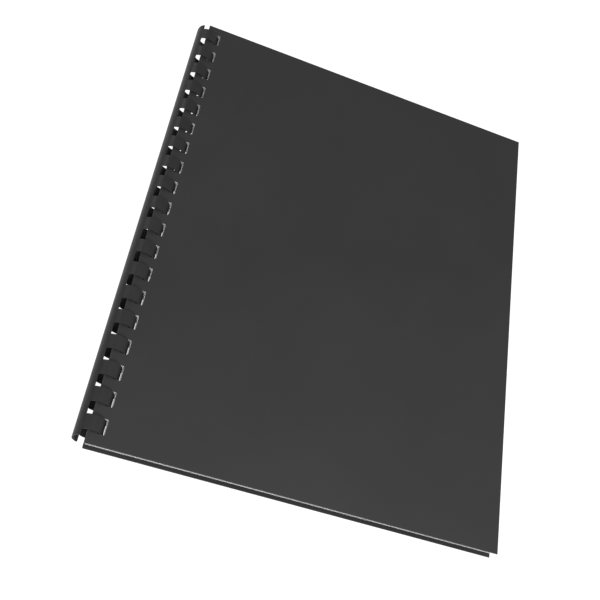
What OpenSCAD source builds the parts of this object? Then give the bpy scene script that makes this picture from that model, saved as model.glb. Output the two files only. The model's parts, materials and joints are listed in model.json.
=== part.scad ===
// A comb-bound document: two covers and a block of leaves, held by a moulded plastic comb.
// It lies closed on its back cover. The bound edge is on the left (-X), the head of the page is +Y,
// and the sheets are stacked along +Z.

/* [Page] */
// Width of a cover, from the bound edge to the fore-edge
cover_w = 215.9; // [148:0.1:230]
// Height of a cover, along the spine
cover_h = 277; // [276:0.1:300]
// Thickness of one cover sheet
cover_t = 0.4; // [0.2:0.05:0.5]

/* [Leaves] */
// Number of leaf packs that turn one after another
pack_count = 20; // [4:1:24]
// Number of leaves in a pack
leaves_in_pack = 4; // [1:1:4]
// Thickness of one leaf, with the air under it
leaf_pitch = 0.1; // [0.08:0.01:0.1]
// Air between one leaf and the next
leaf_air = 0.01; // [0.005:0.005:0.02]
// How far the leaves stop short of the covers at the head and the tail
leaf_end_gap = 2.15; // [0.5:0.05:3]
// How far the leaves stop short of the covers at the fore-edge
leaf_fore_gap = 0.7; // [0.2:0.1:2]
// How far the leaves stop short of the covers at the bound edge
leaf_bound_gap = 0.67; // [0.6:0.01:0.8]

/* [Punched slots] */
// Distance from the bound edge to the slots
slot_margin = 4.1; // [3.9:0.1:4.2]
// Size of a slot across the page
slot_w = 3.9; // [3.8:0.1:4.2]
// Size of a slot along the spine
slot_l = 7.9; // [7.8:0.1:8.2]

/* [Comb] */
// Number of fingers, and of slots in each sheet
finger_count = 19; // [9:1:19]
// Spacing of the fingers along the spine: nine sixteenths of an inch
finger_pitch = 14.2875; // [14.2:0.0125:14.3]
// Width of a finger along the spine
finger_w = 7.6; // [6:0.1:7.6]
// Outer radius of the rings
ring_r = 7; // [6.9:0.05:7.1]
// Thickness of the plastic
wall = 0.5; // [0.4:0.05:0.5]
// Distance from the axis of the rings to the straight outer side of each finger
side_x = 6.75; // [6.4:0.05:6.8]
// How far the lower part of each finger is drawn in, so that its tip tucks behind the spine
tuck = 1.1; // [0.9:0.05:1.1]
// Distance from the bound edge to the axis of the rings
ring_inset = 0.77; // [0.7:0.01:0.8]

/* [Hidden] */
$fn = 96;

// Angles round the rings, counter-clockwise from the fore-edge side
spine_from = 123;
spine_to = 235;
bend_angle = 45;
tuck_from = -60;
tip_angle = -150;
spine_l = finger_count * finger_pitch;

// The tighter bends that lead from the rings' own arc into the straight side
bend_r = (side_x - ring_r * cos(bend_angle)) / (1 - cos(bend_angle));
bend_x = side_x - bend_r;
bend_z = (ring_r - bend_r) * sin(bend_angle);

block_t = pack_count * leaves_in_pack * leaf_pitch;
book_t = block_t + 2 * cover_t;
bound_x = -ring_inset;
slot_x = bound_x + slot_margin;
leaf_x = bound_x + leaf_bound_gap;
leaf_w = cover_w - leaf_bound_gap - leaf_fore_gap;
leaf_h = cover_h - 2 * leaf_end_gap;

// The book rests on the undersides of the fingers and on the back cover's fore-edge
fore_x = bound_x + cover_w;
under_r = ring_r - tuck;
under_x = tuck * cos(tuck_from);
under_z = tuck * sin(tuck_from);
rest_run = fore_x - under_x;
rest_rise = book_t / 2 + under_z;
rest_tilt = asin(under_r / norm([rest_run, rest_rise])) - atan(rest_rise / rest_run);
ring_z = under_r + under_x * sin(rest_tilt) - under_z * cos(rest_tilt);
high_x = fore_x * cos(rest_tilt) + book_t / 2 * sin(rest_tilt);
ring_x = -(high_x - ring_r) / 2;

function pack_name(k) = str("leaves_", k < 10 ? "0" : "", k);

// From the rings' own frame, its origin on their axis, to the frame that the book lies in
module place() {
    translate([ring_x, 0, ring_z]) rotate([0, rest_tilt, 0]) children();
}

// A rectangular sheet from left edge x and underside z, with a slot for every finger
module punched_sheet(x, z, w, h, t) {
    translate([0, 0, z]) linear_extrude(t) difference() {
        translate([x, -h / 2]) square([w, h]);
        for (i = [0:finger_count - 1])
            translate([slot_x, (i - (finger_count - 1) / 2) * finger_pitch - slot_l / 2])
                square([slot_w, slot_l]);
    }
}

// The part of a ring between two angles less than a whole turn apart
module arc_band(r, from, to) {
    reach = 2 * r;
    steps = ceil((to - from) / 60);
    intersection() {
        difference() {
            circle(r);
            circle(r - wall);
        }
        polygon(concat([[0, 0]], [
            for (i = [0:steps])
                let (a = from + (to - from) * i / steps) reach * [cos(a), sin(a)]
        ]));
    }
}

// Extrudes an outline of the rings, drawn across the page, along the spine
module along_spine(length) {
    rotate([90, 0, 0]) linear_extrude(length, center = true) children();
}

module finger() {
    along_spine(finger_w) {
        arc_band(ring_r, bend_angle, spine_from + 10);
        translate([bend_x, bend_z]) arc_band(bend_r, 0, bend_angle);
        translate([side_x - wall, -bend_z]) square([wall, 2 * bend_z]);
        translate([bend_x, -bend_z]) arc_band(bend_r, -bend_angle, 0);
        arc_band(ring_r, tuck_from, -bend_angle);
        translate([under_x, under_z]) arc_band(under_r, tip_angle, tuck_from);
    }
}

module comb() {
    color([0.2, 0.2, 0.21]) place() {
        along_spine(spine_l) arc_band(ring_r, spine_from, spine_to);
        for (i = [0:finger_count - 1])
            translate([0, (i - (finger_count - 1) / 2) * finger_pitch, 0]) finger();
    }
}

module front_cover() {
    color([0.24, 0.24, 0.24]) place()
        punched_sheet(bound_x, block_t / 2, cover_w, cover_h, cover_t);
}

module back_cover() {
    color([0.24, 0.24, 0.24]) place()
        punched_sheet(bound_x, -book_t / 2, cover_w, cover_h, cover_t);
}

// Pack 1 is the first to turn, just under the front cover
module leaf_pack(k) {
    color([0.95, 0.95, 0.93]) place()
        for (i = [0:leaves_in_pack - 1]) {
            under = block_t / 2 - ((k - 1) * leaves_in_pack + i + 1) * leaf_pitch;
            punched_sheet(leaf_x, under + leaf_air / 2, leaf_w, leaf_h, leaf_pitch - leaf_air);
        }
}

back_cover();
front_cover();
comb();
for (k = [1:pack_count]) leaf_pack(k);
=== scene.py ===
import json
import math
import random

import bmesh
import bpy
from mathutils import Matrix, Vector
from mathutils.geometry import delaunay_2d_cdt


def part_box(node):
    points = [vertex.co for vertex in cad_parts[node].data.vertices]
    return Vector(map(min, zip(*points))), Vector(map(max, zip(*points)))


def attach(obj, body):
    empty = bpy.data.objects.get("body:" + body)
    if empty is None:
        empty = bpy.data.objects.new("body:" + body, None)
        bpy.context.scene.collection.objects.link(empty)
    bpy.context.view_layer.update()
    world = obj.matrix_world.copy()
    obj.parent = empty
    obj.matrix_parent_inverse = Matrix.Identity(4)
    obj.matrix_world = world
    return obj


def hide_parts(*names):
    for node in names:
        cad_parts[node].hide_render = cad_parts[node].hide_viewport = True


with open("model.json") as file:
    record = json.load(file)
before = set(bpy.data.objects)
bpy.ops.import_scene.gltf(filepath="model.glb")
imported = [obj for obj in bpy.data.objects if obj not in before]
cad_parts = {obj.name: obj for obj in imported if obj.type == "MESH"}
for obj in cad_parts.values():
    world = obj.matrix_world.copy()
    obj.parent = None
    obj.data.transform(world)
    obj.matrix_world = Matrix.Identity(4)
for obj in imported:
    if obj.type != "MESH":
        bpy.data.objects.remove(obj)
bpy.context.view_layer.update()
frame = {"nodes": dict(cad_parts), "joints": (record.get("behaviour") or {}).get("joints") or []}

# A closed comb-bound document: two punched covers, a block of leaves in packs, and a plastic comb.

MM = 0.001

# The comb, in millimetres and degrees, as the CAD source has it
FINGERS = 19
FINGER_W = 7.6
WALL = 0.5
SIDE_X = 6.75
TUCK = 1.1
SPINE_FROM = 123
SPINE_TO = 235
BEND_ANGLE = 45
TUCK_FROM = -60
TIP_ANGLE = -150

# The punched slots, in millimetres
SLOT_MARGIN = 4.1
SLOT_W = 3.9
SLOT_L = 7.9

# The sheets, in millimetres
COVER_T = 0.4
LEAVES_IN_PACK = 4
LEAF_PITCH = 0.1
LEAF_AIR = 0.01


# ---------------------------------------------------------------- the page's own frame

def cover_tilt():
    """How far the closed document leans, from the box of its tilted front cover."""
    low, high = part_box("front_cover")
    return math.asin((high.z - low.z - COVER_T * MM) / (high.x - low.x))


JOINTS = {joint["name"]: joint for joint in frame["joints"]}
RING_AXIS = Vector(JOINTS["comb_turn"]["pos_m"])
# From the page's own frame, with its origin in the middle of the rings' axis, to the row frame
PAGE = Matrix.Translation(RING_AXIS) @ Matrix.Rotation(cover_tilt(), 4, "Y")


def page_box(node):
    """A CAD node's lowest and highest corners in the page's own frame, in millimetres."""
    back = PAGE.inverted()
    points = [(back @ v.co) / MM for v in frame["nodes"][node].data.vertices]
    low = Vector([min(p[k] for p in points) for k in range(3)])
    high = Vector([max(p[k] for p in points) for k in range(3)])
    return low, high


COVER_LOW, COVER_HIGH = page_box("front_cover")
COMB_LOW, COMB_HIGH = page_box("comb")
RING_R = -COMB_LOW.x
SPINE_L = COMB_HIGH.y - COMB_LOW.y
PITCH = SPINE_L / FINGERS
FINGER_Y = [(i - (FINGERS - 1) / 2) * PITCH for i in range(FINGERS)]
SLOT_X = COVER_LOW.x + SLOT_MARGIN


def new_piece(name, body, node, verts, faces, material):
    """A mesh piece from page-frame points in millimetres, riding on its CAD body."""
    mesh = bpy.data.meshes.new(name)
    mesh.from_pydata([tuple(PAGE @ (Vector(v) * MM)) for v in verts], [], faces)
    mesh.validate()
    mesh.materials.append(material)
    piece = bpy.data.objects.new(name, mesh)
    bpy.context.scene.collection.objects.link(piece)
    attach(piece, body)
    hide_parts(node)
    return piece


def face_outwards(piece):
    bm = bmesh.new()
    bm.from_mesh(piece.data)
    bmesh.ops.recalc_face_normals(bm, faces=bm.faces)
    bm.to_mesh(piece.data)
    bm.free()


# ---------------------------------------------------------------- materials

class Nodes:
    """Short calls for building one material's node tree."""

    def __init__(self, name):
        self.material = bpy.data.materials.new(name)
        self.material.use_nodes = True
        self.tree = self.material.node_tree
        self.shader = self.tree.nodes["Principled BSDF"]
        self.place = self.add("ShaderNodeTexCoord").outputs["Object"]

    def add(self, kind, **settings):
        node = self.tree.nodes.new(kind)
        for key, value in settings.items():
            setattr(node, key, value)
        return node

    def link(self, source, target):
        self.tree.links.new(source, target)

    def scaled(self, x, y, z):
        """Object coordinates multiplied by a scale for each axis."""
        node = self.add("ShaderNodeMapping")
        self.link(self.place, node.inputs["Vector"])
        node.inputs["Scale"].default_value = (x, y, z)
        return node.outputs["Vector"]

    def noise(self, where, scale, detail=2.0, roughness=0.5):
        node = self.add("ShaderNodeTexNoise")
        self.link(where, node.inputs["Vector"])
        node.inputs["Scale"].default_value = scale
        node.inputs["Detail"].default_value = detail
        node.inputs["Roughness"].default_value = roughness
        return node.outputs["Fac"]

    def cells(self, where, scale):
        """Distance from the centres of scattered cells."""
        node = self.add("ShaderNodeTexVoronoi")
        self.link(where, node.inputs["Vector"])
        node.inputs["Scale"].default_value = scale
        return node.outputs["Distance"]

    def ramp(self, value, onto=(0.0, 1.0), between=(0.0, 1.0)):
        """Maps a value that lies between two limits onto another range, and clamps it there."""
        node = self.add("ShaderNodeMapRange")
        self.link(value, node.inputs["Value"])
        node.inputs["From Min"].default_value, node.inputs["From Max"].default_value = between
        node.inputs["To Min"].default_value, node.inputs["To Max"].default_value = onto
        return node.outputs["Result"]

    def math(self, operation, a, b):
        node = self.add("ShaderNodeMath", operation=operation)
        for socket, value in zip(node.inputs, (a, b)):
            if isinstance(value, (int, float)):
                socket.default_value = value
            else:
                self.link(value, socket)
        return node.outputs["Value"]

    def mix(self, share, one, other):
        """A colour between two, by share."""
        node = self.add("ShaderNodeMix", data_type="RGBA")
        self.link(share, node.inputs["Factor"])
        for socket, value in ((node.inputs["A"], one), (node.inputs["B"], other)):
            if isinstance(value, tuple):
                socket.default_value = (*value, 1.0)
            else:
                self.link(value, socket)
        return node.outputs["Result"]

    def attribute(self, name):
        return self.add("ShaderNodeAttribute", attribute_name=name).outputs["Fac"]

    def bump(self, height, distance, strength, after=None):
        node = self.add("ShaderNodeBump")
        self.link(height, node.inputs["Height"])
        node.inputs["Distance"].default_value = distance
        node.inputs["Strength"].default_value = strength
        if after is not None:
            self.link(after, node.inputs["Normal"])
        return node.outputs["Normal"]

    def set(self, **values):
        """Sets the shader's own sockets, an underscore standing for a space, and gives the material."""
        for name, value in values.items():
            socket = self.shader.inputs[name.replace("_", " ")]
            if isinstance(value, (int, float)):
                socket.default_value = value
            elif isinstance(value, tuple):
                socket.default_value = (*value, 1.0)
            else:
                self.link(value, socket)
        return self.material


COVER_DARK = (0.0215, 0.0215, 0.0217)
COVER_LIGHT = (0.0245, 0.0245, 0.0247)
COVER_SPECK = (0.0320, 0.0320, 0.0323)
# Painted highlight: the paler colour of the covers' rounded cut edges, standing in for lit rims
COVER_EDGE_HIGHLIGHT = (0.11, 0.11, 0.112)


def cover_material():
    """Matte black polypropylene sheet: a fine frosted grain, faint handling marks, and rounded cut edges
    painted paler as a painted highlight.
    """
    n = Nodes("cover_frosted_black")
    grain = n.noise(n.place, scale=4200.0, detail=3.0, roughness=0.6)
    pits = n.cells(n.place, scale=2600.0)
    clouds = n.noise(n.place, scale=14.0, detail=4.0, roughness=0.55)
    rubs = n.noise(n.scaled(1.0, 0.22, 1.0), scale=160.0, detail=5.0, roughness=0.7)
    face = n.mix(n.ramp(clouds, between=(0.3, 0.7)), COVER_DARK, COVER_LIGHT)
    speckled = n.mix(n.ramp(grain, onto=(0.0, 0.35), between=(0.35, 0.75)), face, COVER_SPECK)
    # Painted highlight: the rounded cut edges are painted paler
    colour = n.mix(n.attribute("painted_edge_highlight"), speckled, COVER_EDGE_HIGHLIGHT)
    frosted = n.ramp(clouds, onto=(0.36, 0.40), between=(0.3, 0.7))
    handled = n.ramp(rubs, onto=(-0.03, 0.04), between=(0.35, 0.7))
    rough = n.math("ADD", frosted, handled)
    relief = n.bump(n.math("SUBTRACT", grain, pits), distance=0.00003, strength=0.35)
    return n.set(Base_Color=colour, Roughness=rough, Normal=relief, IOR=1.49, Specular_IOR_Level=0.2)


COMB_DARK = (0.0152, 0.0147, 0.0157)
COMB_LIGHT = (0.0180, 0.0174, 0.0186)
# Painted highlight: the paler colour of the comb's rounded edges, standing in for lit rims
COMB_EDGE_HIGHLIGHT = (0.05, 0.05, 0.0515)


def comb_material():
    """Black PVC, drawn as a strip: fine lines along the spine, a soft gloss, and rounded edges painted paler
    as a painted highlight.
    """
    n = Nodes("comb_black_pvc")
    drawn = n.noise(n.scaled(1.0, 0.012, 1.0), scale=2600.0, detail=4.0, roughness=0.6)
    mottle = n.noise(n.place, scale=90.0, detail=4.0, roughness=0.6)
    scuffs = n.noise(n.scaled(1.0, 0.3, 1.0), scale=700.0, detail=3.0, roughness=0.65)
    body = n.mix(n.ramp(mottle, between=(0.3, 0.7)), COMB_DARK, COMB_LIGHT)
    # Painted highlight: the rounded edges are painted paler
    colour = n.mix(n.attribute("painted_edge_highlight"), body, COMB_EDGE_HIGHLIGHT)
    moulded = n.ramp(mottle, onto=(0.42, 0.50), between=(0.3, 0.7))
    scuffed = n.ramp(scuffs, onto=(0.0, 0.10), between=(0.5, 0.8))
    rough = n.math("ADD", moulded, scuffed)
    relief = n.bump(drawn, distance=0.00004, strength=0.25)
    relief = n.bump(scuffs, distance=0.00002, strength=0.2, after=relief)
    return n.set(Base_Color=colour, Roughness=rough, Normal=relief, IOR=1.53, Specular_IOR_Level=0.2)


PAPER_LIGHT = (0.72, 0.72, 0.706)
PAPER_DARK = (0.65, 0.65, 0.636)
PAPER_FLECK = (0.58, 0.575, 0.562)
PAPER_CLOUD = (0.76, 0.76, 0.75)
# Painted shade: the dark greys of the leaves' trimmed sides and, darker still, of their punched slot walls
TRIM_SHADED_LIGHT = (0.185, 0.185, 0.181)
TRIM_SHADED_DARK = (0.14, 0.14, 0.137)
PUNCH_SHADED_LIGHT = (0.12, 0.12, 0.118)
PUNCH_SHADED_DARK = (0.085, 0.085, 0.083)

# What a leaf's side faces carry in their leaf_side attribute. Its flat faces carry 0.
TRIMMED_SIDE = 1.0
PUNCHED_SIDE = 2.0


def paper_material():
    """Uncoated white copy paper: faint fibres, cloudy formation and a tint of its own for each leaf. The
    sides of the leaves are painted much darker than the pages, as they look in the photograph: painted
    shade, darkest in the slots."""
    n = Nodes("leaf_white_paper")
    fibres = n.noise(n.scaled(1.0, 0.35, 1.0), scale=3200.0, detail=4.0, roughness=0.65)
    clouds = n.noise(n.place, scale=300.0, detail=3.0, roughness=0.5)
    sheet = n.mix(n.attribute("leaf_shade"), PAPER_LIGHT, PAPER_DARK)
    flecked = n.mix(n.ramp(fibres, onto=(0.0, 0.3), between=(0.4, 0.7)), sheet, PAPER_FLECK)
    page = n.mix(n.ramp(clouds, onto=(0.0, 0.25), between=(0.4, 0.7)), flecked, PAPER_CLOUD)
    side = n.attribute("leaf_side")
    # Painted shade: the leaves' sides take dark greys in place of the paper's white, darkest in the punched
    # slots
    trimmed = n.mix(n.attribute("leaf_shade"), TRIM_SHADED_LIGHT, TRIM_SHADED_DARK)
    punched = n.mix(n.attribute("leaf_shade"), PUNCH_SHADED_LIGHT, PUNCH_SHADED_DARK)
    edge = n.mix(n.ramp(side, between=(TRIMMED_SIDE, PUNCHED_SIDE)), trimmed, punched)
    colour = n.mix(n.ramp(side, between=(0.0, TRIMMED_SIDE)), page, edge)
    rough = n.ramp(fibres, onto=(0.82, 0.95), between=(0.3, 0.7))
    relief = n.bump(fibres, distance=0.00003, strength=0.3)
    return n.set(Base_Color=colour, Roughness=rough, Normal=relief, IOR=1.4)


def floor_material():
    """A white studio sweep. It glows white by itself and reflects little, so that shadows barely grey it."""
    n = Nodes("floor_white")
    return n.set(Base_Color=(0.1, 0.1, 0.1), Roughness=0.9, Emission_Color=(1.0, 1.0, 1.0),
                 Emission_Strength=1.0)


# ---------------------------------------------------------------- punched sheets

# Distance at which the triangulation takes two points for one, in millimetres
SAME_POINT = 1e-6
# The numbers of the loops that a point can lie on: the outline is 0, the slots follow, and inside is none
OUTLINE = 0
INSIDE = -1


def rounded_loop(low_x, low_y, high_x, high_y, radius, steps):
    """A rectangle's outline with round corners, counter-clockwise."""
    loop = []
    corners = [(high_x, high_y, 0), (low_x, high_y, 90), (low_x, low_y, 180), (high_x, low_y, 270)]
    for x, y, start in corners:
        centre_x = x - radius if x == high_x else x + radius
        centre_y = y - radius if y == high_y else y + radius
        for i in range(steps + 1):
            a = math.radians(start + 90 * i / steps)
            loop.append((centre_x + radius * math.cos(a), centre_y + radius * math.sin(a)))
    return loop


def sheet_loops(low, high, inset, outer_r, slot_r, steps, shift):
    """The outline of a sheet and of its slots, with every edge moved into the material by inset."""
    dx, dy = shift
    loops = [rounded_loop(low.x + dx + inset, low.y + dy + inset, high.x + dx - inset, high.y + dy - inset,
                          outer_r, steps)]
    for y in FINGER_Y:
        loops.append(rounded_loop(SLOT_X + dx - inset, y + dy - SLOT_L / 2 - inset,
                                  SLOT_X + dx + SLOT_W + inset, y + dy + SLOT_L / 2 + inset,
                                  slot_r + inset, steps))
    return loops


def filled(loops, spread):
    """Triangles that fill the first loop, less the others. With spread, rows of points keep them short."""
    points = [Vector(p) for loop in loops for p in loop]
    edges, first = [], 0
    for loop in loops:
        count = len(loop)
        edges += [(first + i, first + (i + 1) % count) for i in range(count)]
        first += count
    rim = len(points)
    if spread:
        start, end = SLOT_X + SLOT_W + spread, max(p.x for p in points)
        tail, head = min(p.y for p in points), max(p.y for p in points)
        columns = int((end - start) / spread)
        rows = int((head - tail) / spread)
        for i in range(columns):
            for j in range(1, rows):
                points.append(Vector((start + i * spread, tail + (head - tail) * j / rows)))
    triangles = delaunay_2d_cdt(points, edges, [], 0, SAME_POINT)[2]
    owner, first = {}, 0
    for number, loop in enumerate(loops):
        owner.update({first + i: number for i in range(len(loop))})
        first += len(loop)
    kept = []
    for triangle in triangles:
        owners = {owner.get(v, INSIDE) for v in triangle}
        # A triangle with all its corners on one slot's loop lies in that slot, so it is left out
        if len(owners) > 1 or owners <= {OUTLINE, INSIDE}:
            kept.append(tuple(triangle))
    return points[rim:], kept


def punched_sheet(low, high, profile, outer_r, slot_r, steps, shift=(0.0, 0.0), spread=0.0):
    """The points and faces of a closed sheet, and each point's share of cut edge. profile lists
    (inset, height) from the underside to the top."""
    verts, faces, cut = [], [], []
    rings = []
    for inset, z in profile:
        loops = sheet_loops(low, high, inset, outer_r, slot_r, steps, shift)
        rings.append((len(verts), loops))
        verts += [(x, y, z) for loop in loops for x, y in loop]
        cut += [1.0 if z not in (profile[0][1], profile[-1][1]) else 0.0] * (len(verts) - len(cut))
    counts = [len(loop) for loop in rings[0][1]]
    for (below, _), (above, _) in zip(rings, rings[1:]):
        first = 0
        for number, count in enumerate(counts):
            for i in range(count):
                a, b = first + i, first + (i + 1) % count
                side = (below + a, below + b, above + b, above + a)
                faces.append(side if number == OUTLINE else side[::-1])
            first += count
    for (start, loops), upwards in ((rings[0], False), (rings[-1], True)):
        rim = sum(counts)
        extra, triangles = filled(loops, spread)
        added = len(verts)
        z = verts[start][2]
        verts += [(p.x, p.y, z) for p in extra]
        cut += [0.0] * len(extra)
        for triangle in triangles:
            face = tuple(start + v if v < rim else added + v - rim for v in triangle)
            faces.append(face if upwards else face[::-1])
    return verts, faces, cut


def add_attribute(piece, name, values):
    layer = piece.data.attributes.new(name, "FLOAT", "POINT")
    layer.data.foreach_set("value", values)


# How level a sheet's flat faces are at least, and its side faces at most
FLAT_LEVEL = 0.99
SIDE_LEVEL = 0.5
# How far beyond the slots' own width a side face still counts as a slot's, in millimetres
SLOT_REACH = 1


def levelness(face):
    """1 for a face that lies flat on the page, 0 for one that stands upright on it."""
    return abs(face.normal.dot(PAGE.to_3x3() @ Vector((0, 0, 1))))


def mark_sides(piece):
    """Marks a leaf pack's side faces for the material's painted shade, the trimmed ones and those in the
    punched slots.
    """
    back = PAGE.inverted()
    marks = []
    for face in piece.data.polygons:
        centre = (back @ face.center) / MM
        in_column = SLOT_X - SLOT_REACH < centre.x < SLOT_X + SLOT_W + SLOT_REACH
        side = PUNCHED_SIDE if in_column and abs(centre.y) < SPINE_L / 2 else TRIMMED_SIDE
        marks.append(side if levelness(face) < SIDE_LEVEL else 0.0)
    piece.data.attributes.new("leaf_side", "FLOAT", "FACE").data.foreach_set("value", marks)


def smooth_sides(piece):
    """Smooth shading on the rounded edges, and none on the two flat faces."""
    for face in piece.data.polygons:
        face.use_smooth = levelness(face) < FLAT_LEVEL


# How far a cover's edges, corners and slot corners are rounded, in millimetres, and in how many steps
COVER_EDGE = 0.15
COVER_CORNER = 0.35
COVER_SLOT_CORNER = 0.45
COVER_STEPS = 4
# Distance between the points inside a cover's faces, in millimetres
COVER_SPREAD = 14.5


def make_cover(name, body, material):
    low, high = page_box(body)
    half_way = COVER_EDGE * (1 - math.sqrt(0.5))
    profile = [(COVER_EDGE, low.z), (half_way, low.z + half_way), (0.0, low.z + COVER_EDGE),
               (0.0, high.z - COVER_EDGE), (half_way, high.z - half_way), (COVER_EDGE, high.z)]
    verts, faces, cut = punched_sheet(low, high, profile, COVER_CORNER, COVER_SLOT_CORNER, COVER_STEPS,
                                      spread=COVER_SPREAD)
    piece = new_piece(name, body, body, verts, faces, material)
    add_attribute(piece, "painted_edge_highlight", cut)
    smooth_sides(piece)


# How far a leaf's corners and slot corners are rounded, in millimetres, and in how many steps
LEAF_CORNER = 0.05
LEAF_SLOT_CORNER = 0.3
LEAF_STEPS = 2
# Leaves in a batch, and how far a batch and a leaf in it are out of line at most, in millimetres
BATCH = 20
BATCH_DRIFT = 0.05
LEAF_DRIFT = 0.04
LEAF_SEED = 7


def make_leaf_packs(material):
    """The packs of leaves, each leaf a little out of line with the next, as in a jogged stack."""
    draw = random.Random(LEAF_SEED)
    packs = sorted(n for n in frame["nodes"] if n.startswith("leaves_"))
    batch = (0.0, 0.0)
    for number, node in enumerate(packs):
        low, high = page_box(node)
        verts, faces, shades = [], [], []
        for i in range(LEAVES_IN_PACK):
            if (number * LEAVES_IN_PACK + i) % BATCH == 0:
                batch = (draw.uniform(-BATCH_DRIFT, BATCH_DRIFT), draw.uniform(-BATCH_DRIFT, BATCH_DRIFT))
            shift = [offset + draw.uniform(-LEAF_DRIFT, LEAF_DRIFT) for offset in batch]
            top = high.z - i * LEAF_PITCH
            under = top - (LEAF_PITCH - LEAF_AIR)
            leaf, sides, _ = punched_sheet(low, high, [(0.0, under), (0.0, top)], LEAF_CORNER,
                                           LEAF_SLOT_CORNER, LEAF_STEPS, shift)
            faces += [tuple(v + len(verts) for v in side) for side in sides]
            verts += leaf
            shades += [draw.random()] * len(leaf)
        piece = new_piece(node.replace("leaves", "leaf_pack"), node, node, verts, faces, material)
        add_attribute(piece, "leaf_shade", shades)
        mark_sides(piece)


# ---------------------------------------------------------------- comb

# Greatest angle between two rows of points round the curl, in degrees
CURL_STEP = 3.0
# Half the angle between the two rows of points that end a finger's straight side
SIDE_SPLIT = 0.01
# Angles round a quarter circle at which a rounded corner gets a row of points
CORNER_ANGLES = (20, 40, 60, 80, 90)
# Radii of the corners, in millimetres: between the fingers, and at the spine's free and fingered sides
GAP_FILLET = 0.3
SPINE_CORNER = 0.5
SPINE_ROOT_CORNER = 0.4
# Where a finger starts to taper, in degrees, the power it tapers by, and its tip, in millimetres
TIP_TAPER_FROM = -130
TIP_TAPER_POWER = 1.5
TIP_W = 5.2
TIP_CORNER = 1.6
# The rounding of the comb's edges: its size in millimetres, its steps, and the least angle of an edge
COMB_EDGE = 0.14
COMB_EDGE_STEPS = 3
SHARP_ANGLE = 50
# How much the larger faces steer the comb's shading: 50 is not at all, 100 is the most
EVEN_WEIGHT = 80


def polar(radius, angle):
    return Vector((radius * math.cos(math.radians(angle)), radius * math.sin(math.radians(angle))))


BEND_R = (SIDE_X - polar(RING_R, BEND_ANGLE).x) / (1 - polar(1, BEND_ANGLE).x)


def on_curl(angle, depth):
    """A point of the rings' cross-section. Depth is measured in from the outer face."""
    centre, radius = Vector((0.0, 0.0)), RING_R
    if abs(angle) < BEND_ANGLE:
        centre, radius = polar(RING_R - BEND_R, math.copysign(BEND_ANGLE, angle)), BEND_R
    elif angle < TUCK_FROM:
        centre, radius = polar(TUCK, TUCK_FROM), RING_R - TUCK
    return centre + polar(radius - depth, angle)


def angles_between(start, end, extra=()):
    """Angles from start down to end, no further apart than one step, with the extra ones among them."""
    marks = sorted({start, end, *extra}, reverse=True)
    out = [marks[0]]
    for high, low in zip(marks, marks[1:]):
        steps = max(1, math.ceil((high - low) / CURL_STEP))
        out += [high - (high - low) * (i + 1) / steps for i in range(steps)]
    return out


def arc_mm(degrees):
    return math.radians(degrees) * RING_R


def quarter(distance, radius):
    """How far a rounded corner stands back at a distance from its end."""
    if distance >= radius:
        return 0.0
    return radius - math.sqrt(max(0.0, radius ** 2 - (radius - distance) ** 2))


def finger_half(angle):
    """Half of a finger's width: flared where it leaves the spine, tapered and rounded at its tip."""
    half = FINGER_W / 2 + quarter(arc_mm(SPINE_FROM - angle), GAP_FILLET)
    if angle < TIP_TAPER_FROM:
        share = (TIP_TAPER_FROM - angle) / (TIP_TAPER_FROM - TIP_ANGLE)
        half -= (FINGER_W - TIP_W) / 2 * share ** TIP_TAPER_POWER
    return half - quarter(arc_mm(angle - TIP_ANGLE), TIP_CORNER)


def spine_half(angle):
    """Half of the spine's length, less its rounded corners."""
    free_side = quarter(arc_mm(SPINE_TO - angle), SPINE_CORNER)
    fingered_side = quarter(arc_mm(angle - SPINE_FROM), SPINE_ROOT_CORNER)
    return SPINE_L / 2 - free_side - fingered_side


def fine_marks(at, radius, towards):
    """Angles that give a rounded corner its shape."""
    step = math.degrees(radius / RING_R)
    return [at + towards * step * (1 - math.cos(math.radians(a))) for a in CORNER_ANGLES]


def comb_grid():
    """The comb unrolled: rows of (angle, y) points, and the quads between them."""
    points, quads = [], []
    root = finger_half(SPINE_FROM)
    breaks = [y + side * root for y in FINGER_Y for side in (-1, 1)]
    rows = []
    for angle in angles_between(SPINE_TO, SPINE_FROM, fine_marks(SPINE_TO, SPINE_CORNER, -1)):
        half = spine_half(angle)
        rows.append(list(range(len(points), len(points) + len(breaks) + 2)))
        points += [(angle, y) for y in (-half, *breaks, half)]
    for above, below in zip(rows, rows[1:]):
        quads += [(above[i], above[i + 1], below[i + 1], below[i]) for i in range(len(above) - 1)]
    marks = fine_marks(SPINE_FROM, GAP_FILLET, -1) + fine_marks(TIP_ANGLE, TIP_CORNER, 1)
    marks += [BEND_ANGLE, SIDE_SPLIT, -SIDE_SPLIT, -BEND_ANGLE, TUCK_FROM]
    column = angles_between(SPINE_FROM, TIP_ANGLE, marks)[1:]
    for number, y in enumerate(FINGER_Y):
        left, right = rows[-1][1 + 2 * number], rows[-1][2 + 2 * number]
        for angle in column:
            half = finger_half(angle)
            quads.append((left, right, len(points) + 1, len(points)))
            left, right = len(points), len(points) + 1
            points += [(angle, y - half), (angle, y + half)]
    return points, quads


def make_comb(material):
    """The comb as one closed mesh: its outer faces, its inner faces, and the edge that joins them."""
    points, quads = comb_grid()
    outer = [on_curl(angle, 0.0) for angle, _ in points]
    inner = [on_curl(angle, WALL) for angle, _ in points]
    verts = [(x, y, z) for (x, z), (_, y) in zip(outer, points)]
    verts += [(x, y, z) for (x, z), (_, y) in zip(inner, points)]
    count = len(points)
    faces = list(quads) + [tuple(count + v for v in quad[::-1]) for quad in quads]
    used = dict.fromkeys((a, b) for quad in quads for a, b in zip(quad, quad[1:] + quad[:1]))
    rim = [(a, b) for a, b in used if (b, a) not in used]
    faces += [(b, a, count + a, count + b) for a, b in rim]
    piece = new_piece("comb_moulding", "comb", "comb", verts, faces, material)
    face_outwards(piece)
    round_rim(piece)


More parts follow.
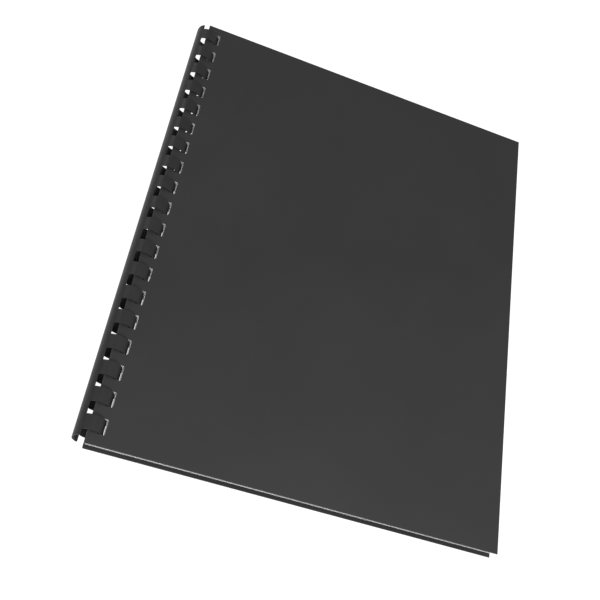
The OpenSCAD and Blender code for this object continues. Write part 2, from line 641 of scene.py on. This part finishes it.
def round_rim(piece):
    """Rounds the comb's cut edges, and marks them for the painted highlight that pales them in the material.
    """
    bm = bmesh.new()
    bm.from_mesh(piece.data)
    sharp = [e for e in bm.edges if e.is_manifold and e.calc_face_angle() > math.radians(SHARP_ANGLE)]
    made = bmesh.ops.bevel(bm, geom=sharp, offset=COMB_EDGE * MM, segments=COMB_EDGE_STEPS, profile=0.5,
                           affect="EDGES", clamp_overlap=True)
    rounded = set(made["faces"])
    layer = bm.verts.layers.float.new("painted_edge_highlight")
    for vert in bm.verts:
        vert[layer] = float(all(face in rounded for face in vert.link_faces))
    for face in bm.faces:
        face.smooth = True
    bm.to_mesh(piece.data)
    bm.free()
    weigh = piece.modifiers.new("even_shading", "WEIGHTED_NORMAL")
    weigh.mode = "FACE_AREA"
    weigh.weight = EVEN_WEIGHT


# ---------------------------------------------------------------- camera, floor and light

# The camera's place and the point of the front cover that it faces, in millimetres from that cover's
# corner at the comb and the tail
CAMERA_AT = (-12.91, -137.87, 413.2)
LOOK_AT = (88.51, 108.77, 0.0)
# How far it is turned round its line of sight, in degrees
ROLL = 36.785
# Its lens and sensor, in millimetres. The lens that the cover's corners give is 54.23 mm. This one makes up
# for the floor's white, which spills over the document's outline.
LENS = 54.3
SENSOR = 36.0
# The nearest that it sees, in metres
CLIP_START = 0.01


def from_corner(point):
    """A place given from the front cover's corner at the comb and the tail, in the row frame."""
    corner = Vector((COVER_LOW.x, COVER_LOW.y, COVER_HIGH.z))
    return PAGE @ ((corner + Vector(point)) * MM)


def make_camera():
    data = bpy.data.cameras.new("camera")
    data.lens = LENS
    data.sensor_width = SENSOR
    data.clip_start = CLIP_START
    camera = bpy.data.objects.new("camera", data)
    bpy.context.scene.collection.objects.link(camera)
    place, target = from_corner(CAMERA_AT), from_corner(LOOK_AT)
    page_turn = PAGE.to_3x3()
    ahead = (page_turn.inverted() @ (target - place)).normalized()
    level = ahead.to_track_quat("-Z", "Y").to_matrix()
    rolled = page_turn @ level @ Matrix.Rotation(math.radians(ROLL), 3, "Z")
    camera.matrix_world = Matrix.Translation(place) @ rolled.to_4x4()
    bpy.context.scene.camera = camera


# The floor is a flat disc, its radius in metres
FLOOR_RADIUS = 6.0
FLOOR_SIDES = 96


def make_floor(material):
    mesh = bpy.data.meshes.new("floor")
    bm = bmesh.new()
    bmesh.ops.create_circle(bm, cap_ends=True, segments=FLOOR_SIDES, radius=FLOOR_RADIUS)
    bm.to_mesh(mesh)
    bm.free()
    mesh.materials.append(material)
    floor = bpy.data.objects.new("floor", mesh)
    bpy.context.scene.collection.objects.link(floor)


WORLD_STRENGTH = 0.34
# Where the softboxes point, in metres: under the middle of the document, and under its comb
PAGE_MIDDLE = (0.0, 0.0, 0.0)
COMB_MIDDLE = (-0.1, 0.0, 0.0)


def softbox(name, place, target, side, watts, shadow=True):
    """A square area light, its place, target and side in metres."""
    data = bpy.data.lights.new(name, "AREA")
    data.shape = "RECTANGLE"
    data.size = side
    data.size_y = side
    data.energy = watts
    data.use_shadow = shadow
    light = bpy.data.objects.new(name, data)
    bpy.context.scene.collection.objects.link(light)
    light.location = place
    light.rotation_euler = (Vector(target) - Vector(place)).to_track_quat("-Z", "Y").to_euler()


def make_light():
    """An even world and four softboxes. The one at the head lifts the comb and casts no shadow."""
    world = bpy.data.worlds.new("studio")
    world.use_nodes = True
    background = world.node_tree.nodes["Background"].inputs
    background["Color"].default_value = (1.0, 1.0, 1.0, 1.0)
    background["Strength"].default_value = WORLD_STRENGTH
    bpy.context.scene.world = world
    softbox("overhead", place=(0.36, -0.15, 1.2), target=PAGE_MIDDLE, side=0.8, watts=4.1)
    softbox("right", place=(2.0, -0.1, 0.75), target=PAGE_MIDDLE, side=1.0, watts=12.0)
    softbox("tail", place=(-0.15, -0.8, 0.9), target=PAGE_MIDDLE, side=0.6, watts=14.5)
    softbox("head_left", place=(-0.9, 1.0, 1.05), target=COMB_MIDDLE, side=0.4, watts=4.5, shadow=False)
    bpy.context.scene.view_settings.view_transform = "Standard"


make_camera()
make_floor(floor_material())
make_light()
cover = cover_material()
make_cover("front_cover_sheet", "front_cover", cover)
make_cover("back_cover_sheet", "back_cover", cover)
make_leaf_packs(paper_material())
make_comb(comb_material())
